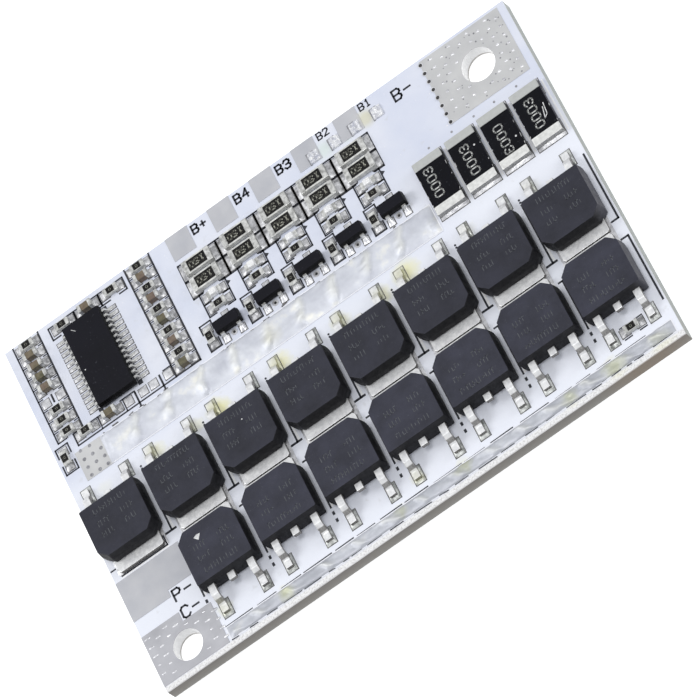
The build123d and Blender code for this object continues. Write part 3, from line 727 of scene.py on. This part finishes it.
def transistor_solder():
    """Solder round the feet of the outer leads and along the edges of the tabs."""
    feet, tabs = Shape(), Shape()
    for box in islands("lead_lands"):
        mound(feet, box, (0, middle(box).y), 0.34, (10, 12))
    for low, high in islands("drain_lands"):
        def lift(u, v):
            edge = (1 - abs(2 * u - 1) ** 12) * (1 - abs(2 * v - 1) ** 16)
            return 0.012 + 0.07 * edge * (1 + 0.5 * fbm(low.x + 6 * u, low.y + 9 * v))

        tabs.field(low, high, (24, 40), lift, high.z - SKIN)
    feet.piece("foot_solder", foot_fillet, "solder")
    tabs.piece("tab_solder", solder, "solder")


def shunt_solder():
    """Solder under the end caps of the shunts, running on in front of them."""
    shape = Shape()
    centre = middle(box_of("shunt_end_caps"))
    for box in islands("shunt_lands"):
        mound(shape, box, (0, middle(box).y - centre.y), 0.42, (20, 12))
    shape.piece("shunt_solder", solder, "solder")


solder_bar("rear_solder_bar", "rear_bar_of_solder", rear_solder, (390, 34), rear_crest, 1.2)
solder_bar("front_solder_bar", "front_bar_of_solder", front_solder, (480, 16), front_crest, 1.5)
part_solder()
transistor_solder()
shunt_solder()


# Coats, lamps, numerals

UPPER_BOWL = ((3, 6), (4, 5), (4, 4), (3, 3))
LOWER_BOWL = ((3, 3), (4, 2), (4, 1), (3, 0))
GLYPHS = {
    "0": [[(0, 1), (0, 5), (1, 6), (3, 6), (4, 5), (4, 1), (3, 0), (1, 0), (0, 1)]],
    "1": [[(1, 5), (2, 6), (2, 0)], [(1, 0), (3, 0)]],
    "2": [[(0, 5), (1, 6), (3, 6), (4, 5), (4, 4), (0, 0), (4, 0)]],
    "3": [[(0, 5), (1, 6), *UPPER_BOWL, (1.5, 3)], [*LOWER_BOWL, (1, 0), (0, 1)]],
    "4": [[(3, 0), (3, 6), (0, 2), (4, 2)]],
    "5": [[(4, 6), (0, 6), (0, 3.5), (3, 3.5), (4, 2.5), (4, 1), (3, 0), (1, 0), (0, 1)]],
    "B": [[(0, 0), (0, 6), *UPPER_BOWL, (0, 3)], [*LOWER_BOWL, (0, 0)]],
    "C": [[(4, 5), (3, 6), (1, 6), (0, 5), (0, 1), (1, 0), (3, 0), (4, 1)]],
    "P": [[(0, 0), (0, 6), *UPPER_BOWL, (0, 3)]],
    "+": [[(0.3, 3), (3.7, 3)], [(2, 1.3), (2, 4.7)]],
    "-": [[(0.3, 3), (3.7, 3)]],
}
GLYPH_WIDE, GLYPH_HIGH, GLYPH_STEP = 4, 6, 6


def write(shape, text, centre, height, line, levels, turn=0.0, squeeze=1.0):
    """Draws generic marks and numerals in single strokes, centred and turned in degrees."""
    unit = (height - line) / GLYPH_HIGH
    length = ((len(text) - 1) * GLYPH_STEP + GLYPH_WIDE) * unit * squeeze
    spin = Matrix.Rotation(math.radians(turn), 2)
    for number, glyph in enumerate(text):
        for stroke in GLYPHS[glyph]:
            corners = [Vector(centre) + spin @ Vector((
                (x + number * GLYPH_STEP) * unit * squeeze - length / 2,
                y * unit - (height - line) / 2)) for x, y in stroke]
            for start, end in zip(corners, corners[1:]):
                shape.rule(start, end, line, levels)


def coats_and_numerals():
    """A dark coat on the middle of each resistor's white core, printed with numerals."""
    coat_depth = 0.02
    coats, numerals, faded = Shape(), Shape(), Shape()
    for node, half, text, height, line, turn in (
            ("bleed_resistor_bodies", (1.04, 0.62), "150", 0.74, 0.125, 180),
            ("chip_resistor_bodies", (0.42, 0.34), "0", 0.36, 0.07, 0)):
        for box in islands(node):
            spot, size, top = middle(box), box[1] - box[0], box[1].z
            upright = size.x <= size.y
            coats.prism(rectangle(spot.x, spot.y, *(half[::-1] if upright else half)),
                        on(top, coat_depth, coat_depth))
            write(faded, text, spot.xy, height, line, on(top + coat_depth, 0.006),
                  90 if upright else turn)
    # each shunt was printed a little differently: the place beside its middle, and the turn
    for box, (aside, up, turn) in zip(shunts.values(), (
            (-0.4, 0.19, 90), (-0.1, -0.07, 90), (-0.1, -0.4, -90), (-0.1, 0.0, 90))):
        spot = middle(box)
        write(numerals, "0003", (spot.x + aside, spot.y + up), 1.05, 0.13, on(box[1].z, 0.008),
              turn)
    coats.piece("resistor_coats", coat, "resistor_coat")
    numerals.piece("shunt_numerals", white_ink)
    faded.piece("resistor_numerals", faded_ink)


def transistor_tops():
    """Worn rows of laser ticks, with nothing in them to read."""
    shape = Shape()
    line, tall, pitch = 0.085, 0.52, 0.36
    # each group: the x and y of its middle, seen from the rear, and how many ticks it has
    groups = ((-1.35, 0.71, 4), (1.35, 0.71, 4), (-1.35, -0.53, 4), (1.35, -0.53, 4),
              (0.0, -1.95, 11))
    for number, box in fets.items():
        spot, levels = middle(box), on(box[1].z, 0.005)
        facing = -1 if number in REAR_FETS else 1
        for centre, y, count in groups:
            for tick in range(count):
                x = spot.x + facing * (centre + (tick - (count - 1) / 2) * pitch)
                base = spot.y + facing * y - tall / 2
                cut = random.choice((0.0, 0.0, 0.18))
                low, high = base + cut * random.random(), base + tall - cut
                shape.rule((x, low), (x, high), line, levels)
                if random.random() < 0.6:
                    level = base + tall * random.choice((0.0, 0.5, 1.0))
                    shape.rule((x, level), (x + pitch * 0.5, level), line, levels)
    shape.piece("transistor_tick_rows", laser_mark)


def lamps():
    """Inside each clear lens a small yellow chip, and on top the rough star that catches light."""
    dies, stars = Shape(), Shape()
    for box in islands("balance_lamp_lenses"):
        spot = middle(box)
        dies.prism(rectangle(spot.x, spot.y, 0.14, 0.14), on(box[0].z, 0.10, 0.02))
        stars.dome(spot.x, spot.y, 0.30, 0.26, box[1].z - 0.02, 0.05, wobble=0.5)
    dies.piece("lamp_dies", die)
    stars.piece("lamp_glaze", lens, "lamp_lens")


coats_and_numerals()
transistor_tops()
lamps()


# Legend

LINE = 0.16
# between the bodies of two transistors in a row
FET_GAP = 0.86
# the printed strokes by the tabs of the rear row and of the front row
REAR_STROKE, FRONT_STROKE = -6.53, -8.71
first_tab_low, first_tab_high = islands("drain_lands")[0]


def half_open_box(shape, left, right, front, rear, arm, line=LINE, open_sides=False):
    """A printed box that is open in the middle of its front and rear, or of its sides."""
    for x, way_x in ((left, 1), (right, -1)):
        for y, way_y in ((front, 1), (rear, -1)):
            shape.rule((x, y), (x, y + way_y * arm) if open_sides else (x + way_x * arm, y), line)
    if open_sides:
        shape.lines(line, (left, front, right, front), (left, rear, right, rear))
    else:
        shape.lines(line, (left, front, left, rear), (right, front, right, rear))


def channel_legend(shape):
    """Boxes round the bleed resistors, lamps and gate resistors of the balancing channels."""
    bleeds = middles("bleed_resistor_bodies")
    reach, end_reach = (bleeds[2].x - bleeds[0].x) / 2, 2.16
    for spot in bleeds:
        left = end_reach if spot.x < bleeds[0].x + 1 else reach
        right = end_reach if spot.x > bleeds[-1].x - 1 else reach
        half_open_box(shape, spot.x - left, spot.x + right, spot.y - 1.05, spot.y + 1.10, 1.05,
                      0.18)
    for x, y, _ in middles("balance_lamp_lenses"):
        for front, rear, arm in ((-0.58, 0.78, 0.5), (-2.04, -0.58, 0.8)):
            half_open_box(shape, x - 1.53, x + 1.53, y + front, y + rear, arm)
        shape.prism([(x + 1.6, y - 0.1), (x + 1.95, y + 0.12), (x + 1.6, y + 0.4)])
    for x, *_ in middles("balance_transistor_bodies"):
        half_open_box(shape, x - 2.93, x - 1.66, 7.31, 10.42, 1.0, open_sides=True)


def chip_legend(shape):
    """Lines round the two columns and two rows of small parts by the monitor chip."""
    left, right = (-29.06, -26.06), (-15.48, -12.54)
    left_front, row_left, row_front, row_rear = 8.85, -27.29, 7.36, 8.79
    pitch, column_rear = 1.357, 20.185
    rungs = [column_rear - pitch * (step + 0.5) for step in range(9)]
    for (x1, x2), front, steps, arm in ((left, left_front, rungs[:8], 0.5),
                                        (right, row_front - 0.02, rungs, 0.42)):
        shape.lines(LINE, *((x, front, x, board_high.y - 0.1) for x in (x1, x2)))
        shape.lines(LINE * 0.8, *((x, y, x + stub, y) for y in steps
                                  for x, stub in ((x1, arm), (x2, -arm))))
    shape.lines(LINE, (left[0], left_front, -28.1, left_front),
                (-27.0, left_front, left[1], left_front), (row_left, row_front, right[1], row_front),
                (row_left, row_front, row_left, row_rear))
    shape.lines(LINE, *((x1, row_rear, x2, row_rear) for x1, x2 in (
        (row_left, -26.6), (-25.2, -23.9), (-21.6, -19.9), (-16.4, right[0]))))
    shape.lines(0.2, (-27.55, 13.15, -27.55, 13.95))
    shape.lines(0.12, *((x, row_front, x, row_rear) for x in (-24.35, -21.33)))
    for x in (-19.90, -16.97):
        shape.lines(0.2, (x, 6.75, x, 8.6))
        shape.prism([(x - 0.28, 6.95), (x + 0.05, 6.5), (x + 0.28, 6.95)])
    for x1, x2 in ((-24.96, -21.92), (-21.88, -18.98), (-18.94, -15.97)):
        half_open_box(shape, x1, x2, 18.97, 20.40, 0.9)
    half_open_box(shape, -29.66, -28.22, 5.30, 8.38, 1.05, open_sides=True)
    # dark strips along both long sides of the chip, under the lead shoulders: painted shadow of the
    # leads, drawn in legend ink
    chip_low, chip_high = box_of("monitor_chip_body")
    shape.lines(0.5, *((x, chip_low.y + 0.2, x, chip_high.y - 0.2)
                       for x in (chip_low.x - 0.18, chip_high.x + 0.18)))


def transistor_legend(shape):
    """Lines and dots between the transistors, and brackets beside the last ones."""
    for x in (fets[number][0].x - FET_GAP / 2 for number in FRONT_FETS):
        shape.lines(0.19, (x, 0.75, x, REAR_STROKE), (x, FRONT_STROKE, x, -14.6),
                    (x - 0.42, FRONT_STROKE, x + 0.42, FRONT_STROKE))
        shape.lines(0.24, (x - 0.72, REAR_STROKE, x + 0.42, REAR_STROKE))
        shape.lines(0.26, *((x, y, x, y - 0.14) for y in (-15.2, -16.05)))
        for y in (1.35, 1.05):
            shape.disc(x, y, 0.12, sides=8)
    right, arm = 29.72, 0.75
    for stroke, end in ((REAR_STROKE, 1.4), (FRONT_STROKE, -16.55)):
        shape.lines(0.2, (right, stroke, right, end), (right - arm, stroke, right, stroke))
    shape.lines(LINE, (-29.85, REAR_STROKE, -29.2, REAR_STROKE))
    # a dark line along the first tab's front edge: a legend line that also stands for the shade under
    # that edge
    x, y = first_tab_high.x, first_tab_low.y
    shape.lines(0.15, (first_tab_low.x + 0.25, y - 0.09, x - 0.25, y - 0.09))
    # a dark strip standing along the first tab's right side: painted shade of the tab's side face
    shape.rule((x - 0.22, y + 0.05), (x - 0.22, y + 0.95), 0.12, (PRINT[0], seat + 0.10))
    shape.lines(0.14, *((x, y, x + 0.75, y) for y in (-16.62, -17.95) for x in (24.75, 26.45)))


def dashes(start, end, run, gap):
    """Gives the start and the length of one random dash after another."""
    while start < end:
        length = random.uniform(*run)
        yield start, length
        start += length + random.uniform(*gap)


def bar_lines(shape):
    """Dark broken lines along the rear edge and the front edge of the front bar."""
    low, high = box_of("front_solder_bar")
    for x, run in dashes(low.x, high.x - 3, (1.2, 3.4), (0.2, 1.0)):
        y = -18.80 + 0.05 * random.uniform(-1, 1)
        shape.lines(0.14, (x, y, x + run, y + 0.04))
    for x, run in dashes(low.x, high.x - 2, (0.4, 2.2), (0.2, 1.4)):
        y = low.y - 0.05 + 0.06 * random.uniform(-1, 1)
        shape.rule((x, y), (x + run, y + 0.05 * random.uniform(-1, 1)), 0.08,
                   (PRINT[0], seat + 0.02))


def legend():
    dark, pale, marks = Shape(), Shape(), Shape()
    for draw in (channel_legend, chip_legend, transistor_legend, bar_lines):
        draw(dark)
    # painted light: whiter strips in the narrow gaps between the transistors and beside the shunts, where
    # the bodies shade the mask
    for x in (fets[number][0].x - FET_GAP / 2 + 0.24 for number in FRONT_FETS):
        pale.lines(0.22, (x, 0.9, x, -6.3), (x, -8.95, x, -14.5))
    for low, high in shunts.values():
        pale.lines(LINE, (high.x + 0.30, low.y, high.x + 0.30, high.y))
    # the same painted light in a strip just in front of the first tab's dark line
    y = first_tab_low.y - 0.25
    pale.lines(0.14, (first_tab_low.x + 0.2, y, first_tab_high.x - 0.2, y))
    small, medium, large = (0.90, 0.14), (1.16, 0.20), (1.42, 0.20)
    for text, x, y, size in (
            ("B+", -6.76, 20.06, medium), ("B4", -1.62, 20.06, medium),
            ("B3", 3.38, 20.02, medium), ("B2", 8.33, 20.46, small),
            ("B1", 13.30, 20.42, small), ("B-", 17.2, 19.18, large),
            ("P-", -24.3, -12.72, large), ("C-", -24.3, -14.84, large)):
        write(marks, text, (x, y), *size, PRINT, squeeze=0.98)
    dark.piece("legend_lines", ink)
    pale.piece("pale_lines", painted_light_white)
    marks.piece("terminal_marks", ink)


def vias():
    """Plated vias, drawn as small rings and pits; most are filled with tin or mask."""
    rings, pits, fills, greys = Shape(), Shape(), Shape(), Shape()
    (bx, by, b_radius), (cx, cy, c_radius) = holes
    pad_low, pad_high = box_of("b_minus_pad")
    first_row, row_pitch, stagger = 20.28, 1.04, 0.52
    flat = on(seat, FLAT)
    for row in range(8):
        y = first_row - row_pitch * row
        rings.ring(20.0, y, 0.19, 0.27, on(seat, 0.02))
        pits.disc(20.0, y, 0.20, flat)
    for column in range(8):
        for row in range(8):
            x = 21.15 + 1.07 * column
            y = first_row - row_pitch * row - (stagger if column % 2 else 0)
            if math.hypot(x - bx, y - by) > b_radius + 0.45 and y > pad_low.y + 0.25:
                fills.dome(x, y, 0.16 + 0.06 * random.random(), 0.15, seat - SINK, 0.04, 2, 10)
                for _ in range(random.choice((0, 1, 1, 2))):
                    at_x, at_y = x + random.uniform(-0.5, 0.5), y + random.uniform(-0.5, 0.1)
                    radius = random.uniform(0.05, 0.10)
                    if (math.hypot(at_x - bx, at_y - by) > b_radius + 0.2
                            and at_x < pad_high.x - 0.15 and at_y > pad_low.y + 0.15):
                        greys.disc(at_x, at_y, radius, flat, 7)
    c_low, c_high = box_of("c_minus_pad")
    notch_x, notch_y = -25.9, -15.9
    for column in range(8):
        for row in range(6):
            x = c_low.x + 0.55 + 1.02 * column
            y = c_high.y - 0.5 - row_pitch * row - (0.5 if column % 2 else 0)
            if (math.hypot(x - cx, y - cy) > c_radius + 0.4 and y > c_low.y + 0.3
                    and not (x > notch_x and y > notch_y)):
                fills.dome(x, y, 0.16 + 0.22 * random.random(), 0.13, seat - SINK, 0.05, 2, 10)
    for x in (-27.35, -26.35, -25.35):
        for y in (5.66, 4.69, 3.72):
            greys.disc(x, y, 0.20, flat)
    for x, y in ((-27.35, 6.72), (-26.3, 6.62)):
        greys.disc(x, y, 0.18, flat)
    for x, *_ in middles("balance_transistor_bodies"):
        rings.ring(x, 7.72, 0.15, 0.34, on(board_top, 0.03))
        pits.disc(x, 7.72, 0.17, on(board_top, FLAT))
    for x in (16.9, 19.6, 22.2, 24.6, 27.2):
        greys.disc(x, 12.05, 0.13, on(board_top, FLAT), 10)
    rings.piece("via_rings", solder, "solder")
    pits.piece("via_pits", pit)
    fills.piece("filled_vias", solder, "solder")
    greys.piece("masked_vias", grey_via)


def gum_spots():
    """Four small square drops of clear gum beside the first two cell taps."""
    drops, rims = Shape(), Shape()
    half_x, half_y, y = 0.58, 0.66, 18.85
    levels = (PRINT[0], seat + 0.03)
    for x in (6.56, 9.08, 11.48, 14.1):
        def lift(u, v):
            square = (1 - abs(2 * u - 1) ** 6) * (1 - abs(2 * v - 1) ** 6)
            dish = 0.05 + 0.18 * max(abs(2 * u - 1), abs(2 * v - 1)) ** 3
            return RIM + max(0.0, square) ** 0.5 * (dish + 0.22 * fbm(x + 3 * u, 3 * v, 5.0))

        drops.field((x - half_x, y - half_y), (x + half_x, y + half_y), (16, 18), lift, seat)
        left, rear = x - half_x, y + half_y
        rims.rule((left, y - half_y + 0.05), (left - 0.04, rear - 0.05), 0.18, levels)
        rims.rule((left + 0.1, rear), (x + 0.1, rear + 0.03), 0.08, levels)
    drops.piece("gum_drops", gum)
    rims.piece("gum_rims", grey_via)


def rims_and_painted_shade():
    """A thin dark rim round each land: the bare laminate where the mask stops short of it, darkened
    further as painted shade round the parts.
    """
    shape = Shape()
    for box in (box for node in ("small_part_lands", "lead_lands", "shunt_lands")
                for box in islands(node)):
        centre, half = middle(box), (box[1] - box[0]) / 2
        corners = rectangle(centre.x, centre.y, half.x + 0.04, half.y + 0.04)
        for start, end in zip(corners, corners[1:] + corners[:1]):
            shape.rule(start, end, 0.07, on(board_top, 0.015))
    shape.piece("mask_openings", bare)


def bar_dirt():
    """Dark broken specks of burnt flux along the rear bar's ragged rear edge."""
    shape = Shape()
    low, high = box_of("rear_solder_bar")
    x = low.x + 0.5
    while x < high.x - 0.5:
        y = high.y - 0.05 + 0.28 * random.uniform(-1, 1)
        run = random.uniform(0.08, 0.7)
        shape.rule((x, y), (x + run, y + 0.1 * random.uniform(-1, 1)),
                   random.uniform(0.05, 0.10), (board_top, seat + 0.05))
        x += run + random.uniform(0.1, 0.9)
    shape.piece("bar_edge_specks", bare)


def wear():
    """The chips and scratches that the photographed board has."""
    shape = Shape()
    fet_top, shunt_top, chip_top = fets[9][1].z, shunts[4][1].z, box_of("monitor_chip_body")[1].z
    proud, thin = 0.006, 0.004
    shape.prism([(-20.35, -10.15), (-19.95, -10.62), (-19.55, -10.05), (-19.95, -9.98)],
                on(fet_top, proud, 0.02))
    shape.disc(-10.9, -2.35, 0.08, on(fet_top, proud), 7)
    for start, end in (((28.35, 6.75), (28.62, 7.95)), ((28.72, 7.05), (28.85, 8.3)),
                       ((28.35, 6.75), (28.72, 7.05))):
        shape.rule(start, end, 0.09, on(shunt_top, proud))
    for x, y in ((25.05, 7.0), (21.1, 8.9)):
        shape.disc(x, y, 0.11, on(shunt_top, proud), 7)
    shape.rule((-22.55, 18.0), (-22.2, 17.62), 0.05, on(chip_top, thin))
    shape.disc(-23.0, 13.3, 0.07, on(chip_top, thin), 7)
    for low, high in shunts.values():
        for x in (low.x + 0.04, high.x - 0.04):
            for y, run in dashes(low.y + 1.0, high.y - 1.2, (0.03, 0.5), (0.5, 2.6)):
                shape.rule((x, y), (x + 0.02, y + run), random.uniform(0.02, 0.05),
                           on(high.z, thin, 0.02))
    shape.piece("chips_and_scratches", chalk)


legend()
vias()
gum_spots()
rims_and_painted_shade()
bar_dirt()
wear()


# Stage, lights, camera

def white_floor():
    """Pure white to the camera where no shadow falls, also in a mirror or through a lens."""
    paint = Paint("white_floor", Base_Color=(0.86, 0.86, 0.87, 1), Roughness=0.9,
                  Specular_IOR_Level=0.1)
    seen_by = 0.0
    for ray in ("Is Camera Ray", "Is Glossy Ray", "Is Transmission Ray"):
        seen_by = paint.calculate("MAXIMUM", seen_by, paint.node("ShaderNodeLightPath", ray))
    strength = paint.calculate("MULTIPLY", seen_by, 0.60)
    glow = paint.node("ShaderNodeEmission", 0, Strength=strength)
    both = paint.node("ShaderNodeAddShader", 0, paint.shader.outputs[0], glow)
    paint.fill(paint.nodes["Material Output"].inputs["Surface"], both)
    return paint.material


def stage():
    """A floor that is cut out under the board, except below the two holes.

    So a view from below shows the underside in plain light.
    """
    half, inset, drop, sides = 1500.0, 0.4, 0.02, 48
    points = (rectangle(0, 0, half, half)
              + rectangle(0, 0, board_high.x - inset, board_high.y - inset))
    faces = band(4, 0, 1)
    for x, y, radius in holes:
        faces.append(tuple(range(len(points), len(points) + sides)))
        points += circle(x, y, radius + 0.1, sides)
    mesh = bpy.data.meshes.new("floor")
    mesh.from_pydata([(x * MM, y * MM, -drop * MM) for x, y in points], [], faces)
    mesh.materials.append(white_floor())
    floor = into_scene("floor", mesh)


def lights():
    """A pale sky and three soft boxes. Their places and sizes are in metres."""
    world = bpy.data.worlds.new("studio")
    bpy.context.scene.world = world
    world.use_nodes = True
    sky = world.node_tree.nodes["Background"].inputs
    sky["Color"].default_value = (0.96, 0.98, 1.0, 1)
    sky["Strength"].default_value = 0.57
    for name, place, size, power in (("softbox_left", (-0.42, 0.12, 0.40), 0.26, 1.10),
                                     ("softbox_right", (0.50, 0.02, 0.14), 0.22, 0.65),
                                     ("softbox_top", (0.02, -0.04, 0.60), 0.20, 0.78)):
        lamp = bpy.data.lights.new(name, "AREA")
        lamp.size = size
        lamp.energy = power
        thing = into_scene(name, lamp)
        thing.location = place
        thing.rotation_euler = (-Vector(place)).to_track_quat("-Z", "Y").to_euler()


def camera():
    """The photograph's camera, solved from the board's corners."""
    place = Vector((135.577, -334.510, 521.728))
    right = Vector((0.799778, -0.389755, -0.456559))
    down = Vector((-0.561247, -0.755323, -0.338362))
    ahead = Vector((-0.212971, 0.526857, -0.822840))
    view = bpy.data.cameras.new("camera")
    view.sensor_width = 36.0
    view.lens = 344.52
    view.clip_start = 0.01
    view.clip_end = 10.0
    thing = into_scene("camera", view)
    turn = Matrix((right, -down, -ahead)).transposed().to_4x4()
    thing.matrix_world = Matrix.Translation(place * MM) @ turn
    bpy.context.scene.camera = thing


stage()
lights()
camera()
bpy.context.scene.view_settings.view_transform = "Standard"

bpy.context.view_layer.update()
